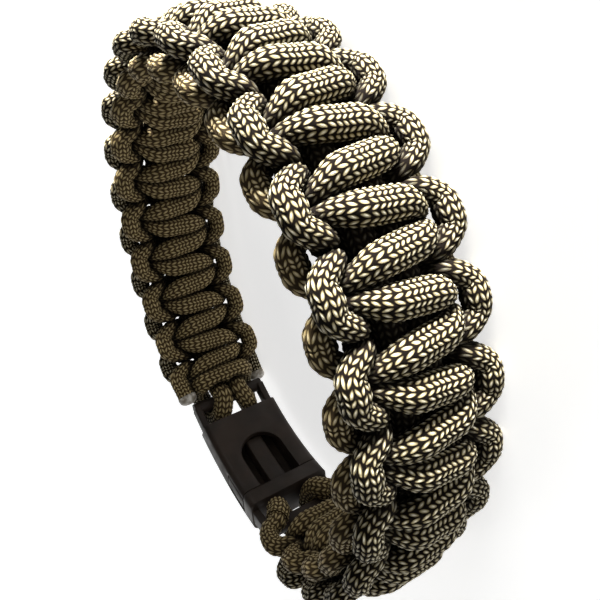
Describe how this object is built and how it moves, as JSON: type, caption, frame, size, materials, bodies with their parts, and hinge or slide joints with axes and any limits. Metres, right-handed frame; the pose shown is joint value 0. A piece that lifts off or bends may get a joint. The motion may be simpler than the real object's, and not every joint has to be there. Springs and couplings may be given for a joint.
{
  "type": "paracord bracelet",
  "caption": "Woven cord bracelet in a flat knotted band, closed into a loop by a curved side-release buckle.",
  "frame": {"origin": "centre of the loop's bounding box, on the surface that its lower edge rests on", "axes": "+Z along the loop's own axis, +X along the longer way across the loop"},
  "size_m": [0.096, 0.0886, 0.0217],
  "materials": {
    "cord": "braided olive and khaki cord",
    "buckle_plastic": "fine matt black"
  },
  "bodies": {
    "root": {"buckle_socket": "buckle_plastic", "buckle_plug": "buckle_plastic", "core_cord": "cord", "front_cord": "cord", "back_cord": "cord"}
  },
  "joints": []
}
